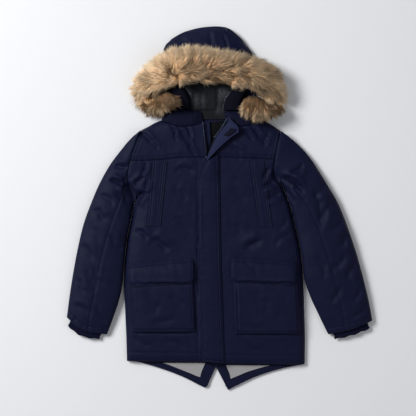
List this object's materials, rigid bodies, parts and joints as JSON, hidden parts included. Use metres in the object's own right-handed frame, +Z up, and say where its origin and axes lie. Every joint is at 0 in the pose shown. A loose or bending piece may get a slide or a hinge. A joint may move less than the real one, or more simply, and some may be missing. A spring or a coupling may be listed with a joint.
{
  "type": "padded hooded fishtail parka laid flat",
  "caption": "Child's padded hooded parka with fur-edged hood, storm flap over a part-open zip, cargo and hand pockets and a fishtail back, laid flat front up.",
  "frame": {"origin": "middle of the outline, on the surface that the garment lies on", "axes": "+X to the wearer's left, +Y to the top of the hood, +Z up from the surface, out of the garment's front"},
  "size_m": [0.8438, 1.0052, 0.0782],
  "materials": {
    "navy_shell": "matte, closely woven polyester shell",
    "navy_inside": "matte, the same shell cloth, its inner layers",
    "navy_rib": "matte rib knit",
    "fleece": "napped fleece",
    "neck_lining": "dull taffeta lining",
    "tail_lining": "satin taffeta lining",
    "fur": "long faux-fur pile, tan with cream tips and brown roots",
    "zip_tape": "woven tape with pale grey moulded teeth",
    "hook_tape": "hook tape",
    "zip_slider": "satin dark plated metal"
  },
  "bodies": {
    "root": {"back_left": "navy_shell", "back_right": "navy_shell", "cargo_bag_left": "navy_shell", "cargo_bag_right": "navy_shell", "cargo_flap_left": "navy_shell", "cargo_flap_right": "navy_shell", "chest_welt_left": "navy_shell", "chest_welt_right": "navy_shell", "collar_left": "navy_shell", "collar_right": "navy_shell", "front_left": "navy_shell", "front_right": "navy_shell", "fur_trim": "fur", "fur_trim_end_left": "fur", "fur_trim_end_right": "fur", "hood_back": "navy_shell", "hood_centre": "navy_shell", "hood_edge_left": "navy_shell", "hood_edge_right": "navy_shell", "hood_lining_fleece": "fleece", "hood_side_left": "navy_shell", "hood_side_right": "navy_shell", "hook_tape_patch": "hook_tape", "neck_lining": "neck_lining", "rib_cuff_left": "navy_rib", "rib_cuff_right": "navy_rib", "sleeve_left_top": "navy_shell", "sleeve_left_under": "navy_shell", "sleeve_right_top": "navy_shell", "sleeve_right_under": "navy_shell", "storm_flap": "navy_shell", "storm_flap_turned_top": "navy_inside", "tail_facing_left": "navy_inside", "tail_facing_right": "navy_inside", "tail_lining_left": "tail_lining", "tail_lining_right": "tail_lining", "wind_flap": "navy_inside", "yoke_left": "navy_shell", "yoke_right": "navy_shell", "zip_closed": "zip_tape", "zip_open_left": "zip_tape", "zip_open_right": "zip_tape", "zip_slider": "zip_slider"}
  },
  "joints": []
}
